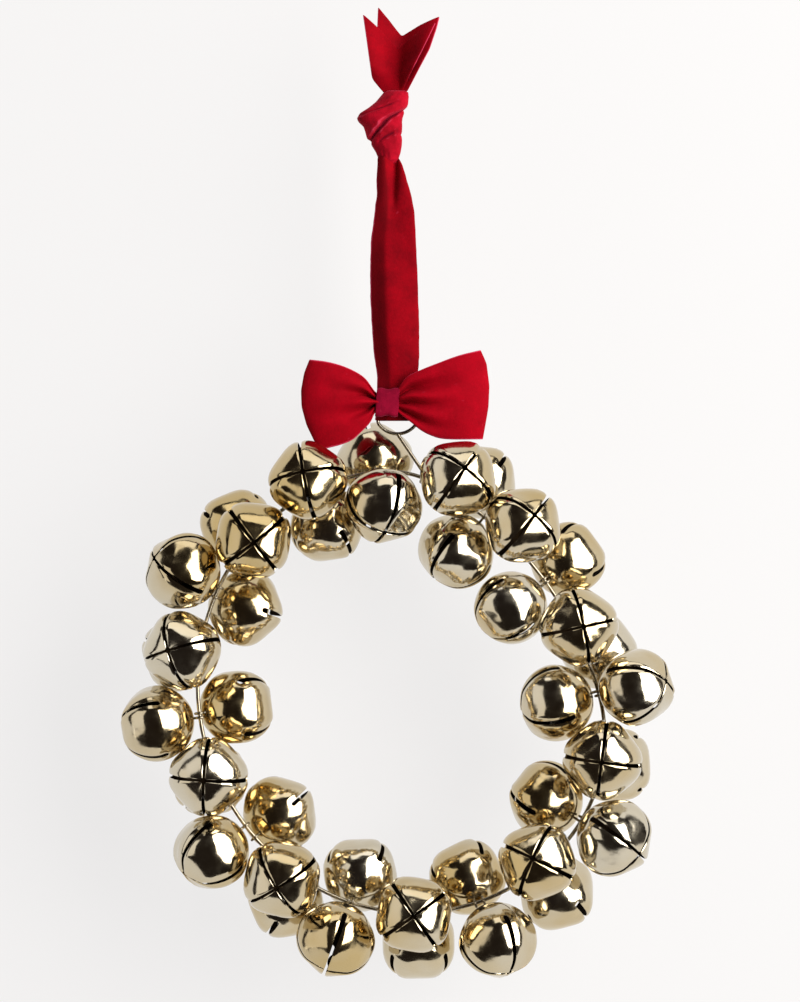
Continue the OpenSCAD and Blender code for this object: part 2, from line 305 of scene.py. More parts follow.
def velvet(name, deep, bright, sheen, sheen_weight, cut_width=None, painted_shade_reach=None, painted_relief_light=False):
    """Cotton velvet with a cut pile: deep where one looks down into the pile and pinkish where its tips
    catch the light, in patches where it was rubbed one way or the other, and pale pink in specks, partly
    scuffed pile and partly painted highlights of the pile.
    With a cut width in millimetres it has a woven selvedge along both edges, painted pale as a highlight where
    the edges catch the light, and with a painted shade reach it is painted darker beyond that distance from the
    middle of the ribbon, as painted shade where the strand turns away from the light.
    With painted relief light, as in the knot, it is painted dark as painted shade down in the grooves and pale
    pink as a painted highlight on the ridges, both read from the mesh's pointiness.
    The real pile is 0.1 mm thick, too fine to show, so its grain is drawn at 0.35 mm."""
    material, tree = blank_material(name)
    place = add(tree, "ShaderNodeTexCoord")
    lay = add(tree, "ShaderNodeTexNoise", Vector=place.outputs["Object"], Scale=1 / (11 * MM), Detail=3.0)
    crush = add(tree, "ShaderNodeTexNoise", Vector=place.outputs["Object"], Scale=1 / (1.6 * MM), Detail=4.0)
    both = add(tree, "ShaderNodeMath", {"operation": "MULTIPLY_ADD"}, _0=crush.outputs["Fac"], _1=0.35,
               _2=lay.outputs["Fac"])
    rub = add(tree, "ShaderNodeMapRange", Value=both.outputs["Value"], From_Min=0.3, From_Max=1.1)
    tone = add(tree, "ShaderNodeMix", {"data_type": "RGBA"}, _0=rub.outputs["Result"], _6=deep, _7=bright)
    # Pale pink specks: partly scuffed pile, partly painted highlights of the pile
    wear = add(tree, "ShaderNodeTexNoise", Vector=place.outputs["Object"], Scale=1 / (2.6 * MM), Detail=6.0,
               Roughness=0.7)
    scuff_and_painted_sheen = add(tree, "ShaderNodeMapRange", Value=wear.outputs["Fac"], From_Min=0.64, From_Max=0.8,
                To_Max=0.4)
    tone = add(tree, "ShaderNodeMix", {"data_type": "RGBA"}, _0=scuff_and_painted_sheen.outputs["Result"],
               _6=tone.outputs[2], _7=linear("#C23A58"))
    # Painted light: grooves with low pointiness are painted dark as painted shade, and ridges with high
    # pointiness are painted pale pink as a painted highlight
    if painted_relief_light:
        relief = add(tree, "ShaderNodeNewGeometry")
        groove = add(tree, "ShaderNodeMapRange", Value=relief.outputs["Pointiness"], From_Min=0.49,
                     From_Max=0.44, To_Max=0.85)
        tone = add(tree, "ShaderNodeMix", {"data_type": "RGBA"}, _0=groove.outputs["Result"],
                   _6=tone.outputs[2], _7=linear("#4A0010"))
        painted_ridge_highlight = add(tree, "ShaderNodeMapRange", Value=relief.outputs["Pointiness"], From_Min=0.53,
                    From_Max=0.6, To_Max=0.7)
        tone = add(tree, "ShaderNodeMix", {"data_type": "RGBA"}, _0=painted_ridge_highlight.outputs["Result"],
                   _6=tone.outputs[2], _7=linear("#DC4A6A"))
    if cut_width:
        across = add(tree, "ShaderNodeSeparateXYZ", Vector=place.outputs["UV"])
        offset = add(tree, "ShaderNodeMath", {"operation": "SUBTRACT"}, _0=across.outputs["X"],
                     _1=cut_width / 2)
        reach = add(tree, "ShaderNodeMath", {"operation": "ABSOLUTE"}, _0=offset.outputs["Value"])
        # Painted shade: beyond the reach the ribbon is painted darker, standing in for the shade where the
        # strand turns away from the light
        if painted_shade_reach:
            painted_turn_shade = add(tree, "ShaderNodeMapRange", Value=reach.outputs["Value"], From_Min=painted_shade_reach,
                         From_Max=painted_shade_reach + 1.5, To_Max=0.65)
            tone = add(tree, "ShaderNodeMix", {"data_type": "RGBA"}, _0=painted_turn_shade.outputs["Result"],
                       _6=tone.outputs[2], _7=[c * 0.6 for c in deep[:3]] + [1])
        # Painted highlight: the woven selvedge along both edges is painted pale pink, as if its edges catch the
        # light
        selvedge_painted_highlight = add(tree, "ShaderNodeMapRange", Value=reach.outputs["Value"],
                       From_Min=cut_width / 2 - 0.7, From_Max=cut_width / 2 - 0.3)
        tone = add(tree, "ShaderNodeMix", {"data_type": "RGBA"}, _0=selvedge_painted_highlight.outputs["Result"],
                   _6=tone.outputs[2], _7=linear("#B0304C"))
    pile = add(tree, "ShaderNodeTexNoise", Vector=place.outputs["Object"], Scale=1 / (0.35 * MM), Detail=2.0)
    grain = add(tree, "ShaderNodeBump", Height=pile.outputs["Fac"], Strength=0.5, Distance=0.12 * MM)
    soft = add(tree, "ShaderNodeBump", Height=crush.outputs["Fac"], Strength=0.35, Distance=0.3 * MM,
               Normal=grain.outputs["Normal"])
    shader = add(tree, "ShaderNodeBsdfPrincipled", Base_Color=tone.outputs[2], Roughness=0.85,
                 Specular_IOR_Level=0.05, Sheen_Weight=sheen_weight, Sheen_Roughness=0.4, Sheen_Tint=sheen,
                 Normal=soft.outputs["Normal"])
    finish_material(tree, shader.outputs["BSDF"])
    return material


def lit_board(name, tone, glow):
    """Matt opal board behind and below the wreath, glowing a little as one lit from behind, with the faint
    grain of its rolled coat. From behind it is clear, so that the back can be looked at."""
    material, tree = blank_material(name)
    place = add(tree, "ShaderNodeTexCoord").outputs["Object"]
    grain = add(tree, "ShaderNodeTexNoise", Vector=place, Scale=1 / (3 * MM), Detail=3.0)
    bump = add(tree, "ShaderNodeBump", Height=grain.outputs["Fac"], Strength=0.1, Distance=0.05 * MM)
    matt = add(tree, "ShaderNodeBsdfDiffuse", Color=tone, Normal=bump.outputs["Normal"])
    light = add(tree, "ShaderNodeEmission", Color=glow)
    both = add(tree, "ShaderNodeAddShader", _0=matt.outputs["BSDF"], _1=light.outputs["Emission"])
    side = add(tree, "ShaderNodeNewGeometry")
    clear = add(tree, "ShaderNodeBsdfTransparent")
    surface = add(tree, "ShaderNodeMixShader", _0=side.outputs["Backfacing"], _1=both.outputs["Shader"],
                  _2=clear.outputs["BSDF"])
    finish_material(tree, surface.outputs["Shader"])
    return material


# ---------- settings ----------


class BellSettings(bpy.types.PropertyGroup):
    radius: FloatProperty(name="Radius", description="Radius of a bell's dome", default=17 * MM,
                          min=15 * MM, max=18 * MM, subtype="DISTANCE", unit="LENGTH")
    corner: FloatProperty(name="Corner", description="Radius at the ends of the slits", default=18.35 * MM,
                          min=17 * MM, max=19 * MM, subtype="DISTANCE", unit="LENGTH")
    sheet: FloatProperty(name="Sheet", description="Thickness of the sheet steel", default=0.5 * MM,
                         min=0.3 * MM, max=1 * MM, subtype="DISTANCE", unit="LENGTH")
    slit: FloatProperty(name="Slit", description="Width of a slit near its ends", default=2.5 * MM,
                        min=1 * MM, max=3 * MM, subtype="DISTANCE", unit="LENGTH")
    slit_past: FloatProperty(name="Slit past middle", description="How far the slits run past the middle",
                             default=5 * MM, min=2 * MM, max=8 * MM, subtype="DISTANCE", unit="LENGTH")
    plating: FloatVectorProperty(name="Plating", description="Colour of the plating", subtype="COLOR", size=3,
                                 min=0, max=1, default=linear("#D0C7B2")[:3])
    thin_plating: FloatVectorProperty(name="Thin plating", description="Colour where the plating is thin",
                                      subtype="COLOR", size=3, min=0, max=1, default=linear("#C2AC7C")[:3])


class RibbonSettings(bpy.types.PropertyGroup):
    width: FloatProperty(name="Width", description="Cut width of the velvet ribbon", default=40 * MM,
                         min=30 * MM, max=45 * MM, subtype="DISTANCE", unit="LENGTH")
    thickness: FloatProperty(name="Thickness", description="Thickness of the velvet", default=0.5 * MM,
                             min=0.3 * MM, max=1 * MM, subtype="DISTANCE", unit="LENGTH")
    deep: FloatVectorProperty(name="Deep pile", description="Colour looking down into the pile",
                              subtype="COLOR", size=3, min=0, max=1, default=linear("#5A0008")[:3])
    bright: FloatVectorProperty(name="Lit pile", description="Colour of the tips of the pile",
                                subtype="COLOR", size=3, min=0, max=1, default=linear("#930010")[:3])


class BowSettings(bpy.types.PropertyGroup):
    puff: FloatProperty(name="Puff", description="How far a wing swells at its middle", default=5.2 * MM,
                        min=2 * MM, max=7 * MM, subtype="DISTANCE", unit="LENGTH")
    deep: FloatVectorProperty(name="Deep pile", description="Colour looking down into the pile",
                              subtype="COLOR", size=3, min=0, max=1, default=linear("#74000C")[:3])
    bright: FloatVectorProperty(name="Lit pile", description="Colour of the tips of the pile",
                                subtype="COLOR", size=3, min=0, max=1, default=linear("#9A0014")[:3])


class StageSettings(bpy.types.PropertyGroup):
    key_power: FloatProperty(name="Key light", description="Power of the large soft light", default=56.0,
                             min=0, max=200, unit="POWER")
    camera_distance: FloatProperty(name="Camera distance", description="How far off the camera stands",
                                   default=1.5, min=0.8, max=3, subtype="DISTANCE", unit="LENGTH")


# ---------- bells ----------


def bell_frame(name, roll):
    """The bell's own axes in the row frame: Z from the wire to the petals' tips, X against the wire."""
    turn = math.radians(BELL_POSES[name][0])
    joint = JOINTS[name]
    wire = Vector(joint["axis"]).normalized()
    back = Vector((0, 1, 0))
    out = back.cross(wire)
    z_axis = math.sin(turn) * out - math.cos(turn) * back
    y_axis = math.cos(turn) * out + math.sin(turn) * back
    centre = Vector(joint["pos_m"]) + HANG * z_axis
    columns = Matrix((-wire, y_axis, z_axis)).transposed().to_4x4()
    return Matrix.Translation(centre) @ columns @ Matrix.Rotation(math.radians(roll), 4, "Z")


def section_radius(settings, rise, off):
    """Distance of the shell from the bell's axis at that rise and that angle off a petal's middle.
    Above the middle the petals are bent one way only and meet at soft corners; the dome below is round."""
    half = settings.radius * math.cos(rise)
    height = settings.radius * math.sin(rise)
    corner = math.sqrt(settings.corner**2 - height**2)
    flat = half / math.cos(off)
    sharpness = 26
    petal = (flat**-sharpness + corner**-sharpness) ** (-1 / sharpness)
    if rise >= 0:
        return petal
    return half + (petal - half) * smoothstep(-0.75, 0, rise)


def bell_shell_mesh(settings, seed):
    """Points, faces, face slots and sharp edges of one shell: two skins and the cut edges between them."""
    draw = random.Random(seed)
    steps = [-1, -0.965, -0.9, -0.78, -0.62, -0.44, -0.22, 0, 0.22, 0.44, 0.62, 0.78, 0.9, 0.965, 1]
    side, petal_rows, dome_rows = len(steps) - 1, 22, 14
    low = -math.asin(settings.slit_past / settings.radius)
    high = math.radians(85.5)
    lift = [draw.uniform(-0.5, 0.25) * MM for _ in range(PETALS)]
    shift = Vector([draw.uniform(-5, 5) for _ in range(3)])

    def slit_half(rise):
        """Half the slit's width at that rise: a round end, then narrowing to half at the crown."""
        end = settings.slit / 2 * slit_share
        past = settings.radius * (rise - low)
        if past < end:
            return end * math.sqrt(max(1 - (1 - past / end) ** 2, 0))
        share = (rise - low) / (high - low)
        return end * (1 - 0.5 * share)

    def at(petal, step, rise):
        """A point of the outer skin: which petal, how far across it from -1 to 1, and its rise."""
        widest = MIDDLE_TO_SLIT
        if rise > low + 1e-6:
            for _ in range(4):
                share = slit_half(rise) / section_radius(settings, rise, widest)
                widest = MIDDLE_TO_SLIT - math.asin(min(share, 0.7))
        off = widest * step
        r = section_radius(settings, rise, off)
        turn = MIDDLE_TO_SLIT + petal * math.pi / 2 + off
        p = Vector((r * math.cos(turn), r * math.sin(turn), settings.radius * math.sin(rise)))
        push = lift[petal] * smoothstep(0.2, 1.4, rise) * (1 - step * step * 0.4)
        push -= 0.32 * MM * smoothstep(0.88, 1, abs(step)) * smoothstep(low, low + 0.1, rise)
        dent = noise.noise(p / (9 * MM) + shift) * 0.16 * MM
        return p + p.normalized() * (push + dent)

    slit_share = draw.uniform(0.9, 1.12)
    verts, dome = [], []
    for i in range(dome_rows + 1):
        rise = -math.pi / 2 + (low + math.pi / 2) * (i + 0.5) / (dome_rows + 0.5)
        ring = []
        for c in range(4 * side):
            petal, k = divmod(c, side)
            ring.append(len(verts))
            verts.append(at(petal, steps[k], rise))
        dome.append(ring)
    petals = []
    for petal in range(PETALS):
        rows = [[dome[-1][(petal * side + k) % (4 * side)] for k in range(side + 1)]]
        for i in range(1, petal_rows + 1):
            rise = low + (high - low) * (i / petal_rows) ** 1.25
            row = []
            for k in range(side + 1):
                row.append(len(verts))
                verts.append(at(petal, steps[k], rise))
            rows.append(row)
        petals.append(rows)
    faces = []
    for a, b in zip(dome, dome[1:]):
        for c in range(4 * side):
            d = (c + 1) % (4 * side)
            faces.append((a[c], a[d], b[d], b[c]))
    crown = len(verts)
    verts.append(Vector((0, 0, -settings.radius)))
    faces += [(crown, dome[0][(c + 1) % (4 * side)], dome[0][c]) for c in range(4 * side)]
    for rows in petals:
        for a, b in zip(rows, rows[1:]):
            faces += [(a[k], a[k + 1], b[k + 1], b[k]) for k in range(side)]
    count = len(verts)
    verts += [p * (1 - settings.sheet / p.length) for p in verts]
    # The inner skin takes the second slot, painted nearly black as painted shade inside the shell
    slots = [0] * len(faces) + [1] * len(faces)
    faces += [tuple(i + count for i in reversed(f)) for f in faces]
    sharp = []
    for rows in petals:
        edge = [row[0] for row in rows] + rows[-1][1:-1] + [row[-1] for row in reversed(rows)]
        for a, b in zip(edge, edge[1:]):
            faces.append((b, a, a + count, b + count))
            slots.append(0)
            sharp += [(a, b), (a + count, b + count)]
    return verts, faces, slots, sharp


class WREATH_OT_bells(bpy.types.Operator):
    """Press and slit the bells, each hung on the ring with its own small faults"""

    bl_idname = "wreath.bells"
    bl_label = "Bells"

    def execute(self, context):
        settings = context.scene.wreath_bell
        finishes = [plated_steel(settings), inside_of_bell()]
        for seed, name in enumerate(sorted(BELL_POSES)):
            verts, faces, slots, sharp = bell_shell_mesh(settings, seed)
            place = bell_frame(name, BELL_POSES[name][1])
            shell = new_piece(name + "_shell", [place @ v for v in verts], faces, finishes, name, slots, sharp)
            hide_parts(name)
        return {"FINISHED"}


class WREATH_OT_loops(bpy.types.Operator):
    """Bend a wire loop from the crown of each bell round the ring"""

    bl_idname = "wreath.loops"
    bl_label = "Bell loops"

    def execute(self, context):
        wire = drawn_wire()
        loop_r, legs = 1.9 * MM, 0.65 * MM
        for name in BELL_POSES:
            path = [Vector((0, legs, -16 * MM)), Vector((0, legs, -17.3 * MM))]
            for i in range(25):
                a = math.radians(62 - i * 304 / 24)
                path.append(Vector((0, loop_r * math.cos(a), -HANG + loop_r * math.sin(a))))
            path += [Vector((0, -legs, -17.3 * MM)), Vector((0, -legs, -16 * MM))]
            order = sorted(path[2:-2], key=lambda p: -math.atan2(p.y, p.z + HANG))
            place = bell_frame(name, 0)
            path = [place @ p for p in path[:2] + order + path[-2:]]
            loop = wire_piece(name + "_loop", path, 0.6 * MM, wire, name, 10)
        return {"FINISHED"}


class WREATH_OT_wire(bpy.types.Operator):
    """Finish the ring's wire and the loose balls, which keep their working shapes"""

    bl_idname = "wreath.wire"
    bl_label = "Ring and balls"

    def execute(self, context):
        wire, steel = drawn_wire(), ball_steel()
        for name, node in frame["nodes"].items():
            finish = wire if name in ("wire_ring", "hanger_eye") else steel if "balls" in name else None
            if finish:
                for slot in node.material_slots:
                    slot.material = finish
                node.data.shade_smooth()
        return {"FINISHED"}


# ---------- ribbon, knot and tails ----------

# Front strand going down, in millimetres: height, left edge, right edge
STRAND_EDGES = [(4, -6.0, 3.2), (0, -6.3, 5.3), (-7, -6.7, 7.4), (-14, -6.5, 9.5), (-21, -7.4, 10.9),
                (-26.5, -8.1, 11.4), (-35, -9.3, 11.8), (-49, -9.7, 12.5), (-62.5, -9.5, 13.0),
                (-76.5, -8.8, 13.4), (-88, -7.9, 13.4), (-97.5, -6.4, 12.7), (-107, -6.4, 11.6),
                (-116, -7.2, 10.4)]
# Distance of the strand in front of the hook
STRAND_DEPTH = [(4, 1.5), (0, 2.6), (-10, 4.2), (-70, 3.6), (-98, 2.4), (-116, 2.2)]
BIGHT_Z, BIGHT_R = -115.9, 2.3


class WREATH_OT_ribbon(bpy.types.Operator):
    """Fold the velvet ribbon along its length and hang it in two strands through the wire eye"""

    bl_idname = "wreath.ribbon"
    bl_label = "Hanging ribbon"

    def execute(self, context):
        settings = context.scene.wreath_ribbon
        cut = settings.width / MM
        # The last argument, 12.5 mm, is the reach beyond which the strap is painted darker as painted shade
        fabric = velvet("cotton_velvet_cut_pile", tuple(settings.deep) + (1,), tuple(settings.bright) + (1,),
                        linear("#E03050"), 0.1, cut, 12.5)
        levels = [4 - 1.9 * i for i in range(64) if 4 - 1.9 * i > BIGHT_Z]
        stations = [(z, 1) for z in levels]
        stations += [(BIGHT_Z, -math.cos(math.pi * i / 8)) for i in range(9)]
        stations += [(z, -1) for z in reversed(levels)]
        rows, across = [], 28
        for index, (z, way) in enumerate(stations):
            left, right = along(STRAND_EDGES, z)
            depth = along(STRAND_DEPTH, z)[0]
            front = index < len(levels)
            turning = len(levels) <= index < len(levels) + 9
            row = []
            for k in range(across + 1):
                t = 2 * k / across - 1
                outer = t < 0
                share = 1 + t if outer else 1 - t
                u = 2 * share - 1
                u = math.copysign(abs(u) ** 0.9, u)
                x = (left + right) / 2 + (right - left) / 2 * u
                layer = 0.34 if outer else -0.34
                layer *= min(1.0, 6 * (1 - abs(2 * share - 1)) + 0.15)
                y = depth + layer + 0.9 * (1 - u * u) * smoothstep(-20, -60, z)
                y += 0.5 * math.sin(2.2 * u + z / 17) * smoothstep(0, -30, z)
                valley = 1.2 + 1.5 * smoothstep(-24, 0, z) - 0.5
                fold = math.exp(-(((x - valley) / 1.15) ** 2)) * smoothstep(-27, -8, z)
                y -= 3.6 * fold
                y += 1.9 * smoothstep(-34, -8, z) * math.exp(-(((x + 3.2) / 2.6) ** 2))
                y += 0.7 * smoothstep(-34, -8, z) * math.exp(-(((x - 6.0) / 2.6) ** 2))
                y -= 2.4 * smoothstep(-0.25, -0.95, u) * smoothstep(-16, -44, z) * smoothstep(-104, -88, z)
                x += 0.45 * abs(u) ** 8 * noise.noise(Vector((3 * t, z / 1.3, way)))
                if turning:
                    i = index - len(levels)
                    a = math.pi * i / 8
                    r = BIGHT_R + layer
                    row.append((x, -r * math.cos(a), BIGHT_Z - r * math.sin(a)))
                else:
                    row.append((x, -y if front else y, z))
            rows.append(row)
        strap = cloth_piece("hanging_ribbon", rows, fabric, settings.thickness / MM, "hanging_ribbon",
                            (cut, 247))
        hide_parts("ribbon_loop")
        return {"FINISHED"}


# Knot, in millimetres: height, left side, right side, half its depth
KNOT_SIDES = [
    (0.6, -4.6, 2.0, 2.5), (2.3, -5.6, 3.6, 4.2), (5.6, -7.2, 4.7, 5.8), (8.3, -8.8, 5.2, 6.6),
    (11.6, -10.4, 5.4, 7.0), (14.8, -11.4, 5.4, 7.2), (17.6, -12.5, 5.4, 7.2), (19.9, -14.8, 5.4, 7.2),
    (21.8, -15.8, 5.7, 7.2), (24.1, -13.9, 6.4, 7.2), (26.4, -10.2, 7.0, 7.0), (29.2, -6.7, 7.6, 6.2),
    (31.5, -4.8, 8.0, 5.2), (33.6, -3.3, 8.0, 3.6), (34.4, -1.5, 6.5, 1.6),
]


class WREATH_OT_knot(bpy.types.Operator):
    """Wrap the knot: an upper turn of ribbon that crosses a lower one on the slant"""

    bl_idname = "wreath.knot"
    bl_label = "Knot"

    def execute(self, context):
        settings = context.scene.wreath_ribbon
        # The knot's velvet has painted shade in its grooves and a painted highlight on its ridges
        fabric = velvet("cotton_velvet_painted_relief_light", tuple(settings.deep) + (1,), linear("#B40A24"),
                        linear("#F06080"), 0.3, painted_relief_light=True)
        rows, turns = [], 96
        for i in range(81):
            z = 0.6 + 33.8 * i / 80
            left, right, deep = along(KNOT_SIDES, z)
            row = []
            for k in range(turns):
                a = 2 * math.pi * k / turns
                x0, y0 = math.cos(a), math.sin(a)
                slant = 19.0 + 7.4 * x0
                over = smoothstep(slant - 0.5, slant + 0.5, z)
                groove = math.exp(-(((z - slant + 0.9) / 0.9) ** 2))
                low_lip = math.exp(-(((z - slant - 1.6) / 2.0) ** 2))
                second = 9.5 + 4.5 * x0 - 3.0 * y0
                pleat = math.exp(-(((z - second) / 0.9) ** 2)) * smoothstep(-0.9, 0.1, x0)
                third = 27.0 + 5.0 * x0
                tuck = math.exp(-(((z - third) / 0.8) ** 2)) * smoothstep(0.9, -0.2, x0)
                swell = -0.7 + 1.4 * over - 2.0 * groove + 0.9 * low_lip - 1.3 * pleat - 1.1 * tuck
                swell += 0.5 * noise.noise(Vector((3 * x0, 3 * y0, z / 4)))
                swell *= smoothstep(0.2, 4.5, z) * smoothstep(34.6, 31, z)
                half = (right - left) / 2
                x = (left + right) / 2 + (half + 0.35 * swell * abs(x0)) * x0
                y = (deep + swell) * y0
                row.append((x, y, z))
            rows.append(row)
        verts = [Vector(p) * MM for row in rows for p in row]
        faces = row_faces(len(rows), turns, closed=True)
        faces += [tuple(reversed(range(turns))), tuple(range((len(rows) - 1) * turns, len(rows) * turns))]
        knot = new_piece("ribbon_knot_wraps", verts, faces, [fabric], "hanging_ribbon")
        knot.data.uv_layers.new(name="cut")
        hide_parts("ribbon_knot")
        return {"FINISHED"}


def tail_rows(left, right, valley, depth_left, depth_valley, depth_right, top):
    """Rows of a folded tail from the knot to its swallow-tail cut, each a V across the ribbon."""
    rows = []
    for i in range(31):
        s = i / 30
        row = []
        for k in range(25):
            t = k / 24
            reach = s * along(top, t)[0]
            a = Vector(left(reach))
            b = Vector(valley(reach))
            c = Vector(right(reach))
            if t < 0.5:
                u = t * 2
                p = a.lerp(b, u)
                y = depth_left + (depth_valley - depth_left) * smoothstep(0, 1, u)
            else:
                u = t * 2 - 1
                p = b.lerp(c, u)
                y = depth_valley + (depth_right - depth_valley) * smoothstep(0, 1, u)
            spread = smoothstep(0, 0.35, reach)
            row.append((p[0], y * spread + 0.4 * math.sin(9 * reach + 4 * t), p[1]))
        rows.append(row)
    return rows


class WREATH_OT_tails(bpy.types.Operator):
    """Stand the two cut ends of the ribbon above the knot, each folded and cut to a swallow tail"""

    bl_idname = "wreath.tails"
    bl_label = "Ribbon tails"

    def execute(self, context):
        settings = context.scene.wreath_ribbon
        cut = settings.width / MM
        fabric = velvet("cotton_velvet_tails", tuple(settings.deep) + (1,), tuple(settings.bright) + (1,),
                        linear("#E03050"), 0.12, cut)
        front = tail_rows(
            lambda s: along([(0, -3.0, 33), (0.18, -8.8, 39.4), (0.45, -10.2, 48.7), (0.72, -11.6, 58.9),
                             (1.0, -13.0, 68.6)], s),
            lambda s: along([(0, 5.1, 34), (0.3, 10.4, 43.6), (0.55, 13.9, 50.3), (0.8, 17.6, 57.6),
                             (1.0, 20.9, 64.4)], s),
            lambda s: along([(0, 3.6, 33), (0.5, 3.4, 46), (1.0, 3.4, 63)], s),
            -9.5, -1.0, -12.0, [(0, 1.0), (0.25, 0.875), (0.5, 0.72), (0.75, 0.875), (1, 1.0)])
        back = tail_rows(
            lambda s: along([(0, -1.0, 33), (0.3, -5.0, 45), (0.7, -6.6, 60), (1.0, -6.0, 73.2)], s),
            lambda s: along([(0, 7.6, 34), (0.25, 13.0, 44), (0.55, 18.0, 53.3), (0.85, 21.2, 62.6),
                             (1.0, 22.7, 68.6)], s),
            lambda s: along([(0, 4.0, 33), (0.5, 5.0, 50), (1.0, 5.2, 69)], s),
            -1.5, 3.8, -3.0, [(0, 1.0), (0.25, 0.9), (0.5, 0.77), (0.75, 0.9), (1, 1.0)])
        for name, rows, node in (("front_tail", front, "ribbon_left_tail"),
                                 ("back_tail", back, "ribbon_right_tail")):
            tail = cloth_piece(name, rows, fabric, settings.thickness / MM, "hanging_ribbon", (cut, 38))
            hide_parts(node)
        return {"FINISHED"}


# ---------- bow ----------

LEFT_WING = {
    "top": [(-4, -107.5), (-7.4, -105.2), (-11.5, -99.6), (-15.5, -96.6), (-21.9, -93.6), (-29.5, -91.5),
            (-37.8, -90.4)],
    "low": [(-4, -113.5), (-7.4, -115.0), (-9.7, -119.6), (-14.4, -124.6), (-17.8, -127.6), (-23.6, -130.0),
            (-33.2, -132.4)],
    "end": [(0, 0.0), (0.15, 3.3), (0.34, 5.7), (0.52, 6.3), (0.72, 4.9), (0.9, 2.0), (1, 0.0)],
    "creases": [(0.36, 0.055, 7.5), (0.64, 0.06, 6.5), (0.5, 0.1, -2.8), (0.12, 0.05, 1.4), (0.86, 0.04, 1.2)],
}
RIGHT_WING = {
    "top": [(2, -106), (3.8, -103.4), (7.5, -98.5), (13.4, -95.5), (21.6, -92.2), (31.4, -88.6), (41.7, -86.0)],
    "low": [(2, -113.5), (4.8, -116.0), (10, -120.0), (13.4, -122.9), (18.5, -125.6), (25.5, -127.3),
            (42.7, -127.4)],
    "end": [(0, 0.0), (0.15, 2.7), (0.4, 3.8), (0.64, 3.1), (0.84, 1.4), (1, 0.0)],
    "creases": [(0.28, 0.06, 7.5), (0.56, 0.055, 5.0), (0.42, 0.08, -2.2), (0.84, 0.05, 3.6)],
}
BOW_Y = -6.4
BOW_CUT = (41, 84)  # each loop's ribbon, across and along, in millimetres
BAND_CUT = (34, 10.6)


def wing_rows(plan, out, puff):
    """Rows across a folded wing: out over the front, round the end fold and back behind."""
    top = curve_through([(x, z, 0) for x, z in plan["top"]], 33)
    low = curve_through([(x, z, 0) for x, z in plan["low"]], 33)
    rows, steps = [], 32
    for side in (1, -1):
        for i in range(steps + 1):
            i = i if side > 0 else steps - i
            s = i / steps
            if side < 0 and i == steps:
                continue
            a, b = top[i], low[i]
            row = []
            for k in range(33):
                v = k / 32
                x = a.x + (b.x - a.x) * v + out * along(plan["end"], v)[0] * s**4
                z = a.y + (b.y - a.y) * v
                swell = math.sin(math.pi * min(s * 1.02, 1.0)) ** 0.8 * 0.55 + 0.45 * smoothstep(0, 0.5, s)
                close = math.sqrt(max(1 - s**8, 0))
                depth = (1.1 + puff * swell * (0.35 + 0.65 * math.sin(math.pi * v) ** 0.8)) * close
                dip = 0.0
                for centre, wide, deep in plan["creases"]:
                    spread = wide * (1 + 1.6 * s)
                    bend = centre + 0.10 * (s - 0.3) * (centre - 0.5)
                    dip += deep * math.exp(-(((v - bend) / spread) ** 2)) * smoothstep(0.95, 0.2, s)
                if side > 0:
                    depth = max(depth - dip * smoothstep(0, 0.1, s) * close, -0.75 * depth)
                row.append((x, BOW_Y - side * depth, z))
            rows.append(row)
    return rows


class WREATH_OT_bow(bpy.types.Operator):
    """Fold the bow's two wings, pleated at the waist, and wrap the band round them"""

    bl_idname = "wreath.bow"
    bl_label = "Bow"

    def execute(self, context):
        settings = context.scene.wreath_bow
        thickness = context.scene.wreath_ribbon.thickness / MM
        fabric = velvet("cotton_velvet_bow", tuple(settings.deep) + (1,), tuple(settings.bright) + (1,),
                        linear("#FF3050"), 0.03, BOW_CUT[0])
        wrap = velvet("cotton_velvet_band", linear("#5C0018"), linear("#900A2C"), linear("#FF6090"), 0.2)
        for name, plan, out, node in (("bow_left_loop", LEFT_WING, -1, "bow_left_wing"),
                                      ("bow_right_loop", RIGHT_WING, 1, "bow_right_wing")):
            rows = wing_rows(plan, out, settings.puff / MM)
            wing = cloth_piece(name, rows, fabric, thickness, "hanging_ribbon", BOW_CUT)
            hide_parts(node)
        rows = []
        for i in range(25):
            u = i / 24
            row = []
            for k in range(37):
                a = math.pi + 2 * math.pi * k / 36
                high = 6.2 + 0.35 * math.sin(3 * math.pi * u)
                x = -6.9 + 10.6 * u + 0.5 * math.sin(a)
                z = -110.3 + high * math.copysign(abs(math.sin(a)) ** 0.62, math.sin(a))
                y = BOW_Y - 3.0 * math.copysign(abs(math.cos(a)) ** 0.62, math.cos(a))
                y -= 0.5 * math.cos(a) * math.sin(math.pi * u)
                y += 0.25 * noise.noise(Vector((x / 2.5, z / 2.5, 0)))
                row.append((x, y, z))
            rows.append(row)
        band = cloth_piece("bow_band_wrap", rows, wrap, thickness, "hanging_ribbon", BAND_CUT)
        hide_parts("bow_band")
        return {"FINISHED"}


# ---------- stage ----------


def soft_light(name, at, aim, size, power, tone):
    """A rectangular area light at a place, aimed at another."""
    light = bpy.data.lights.new(name, "AREA")
    light.shape, light.size, light.size_y = "RECTANGLE", size[0], size[1]
    light.energy, light.color = power, tone
    lamp = bpy.data.objects.new(name, light)
    bpy.context.scene.collection.objects.link(lamp)
    lamp.location = at
    lamp.rotation_euler = (Vector(aim) - Vector(at)).to_track_quat("-Z", "Y").to_euler()
    return lamp


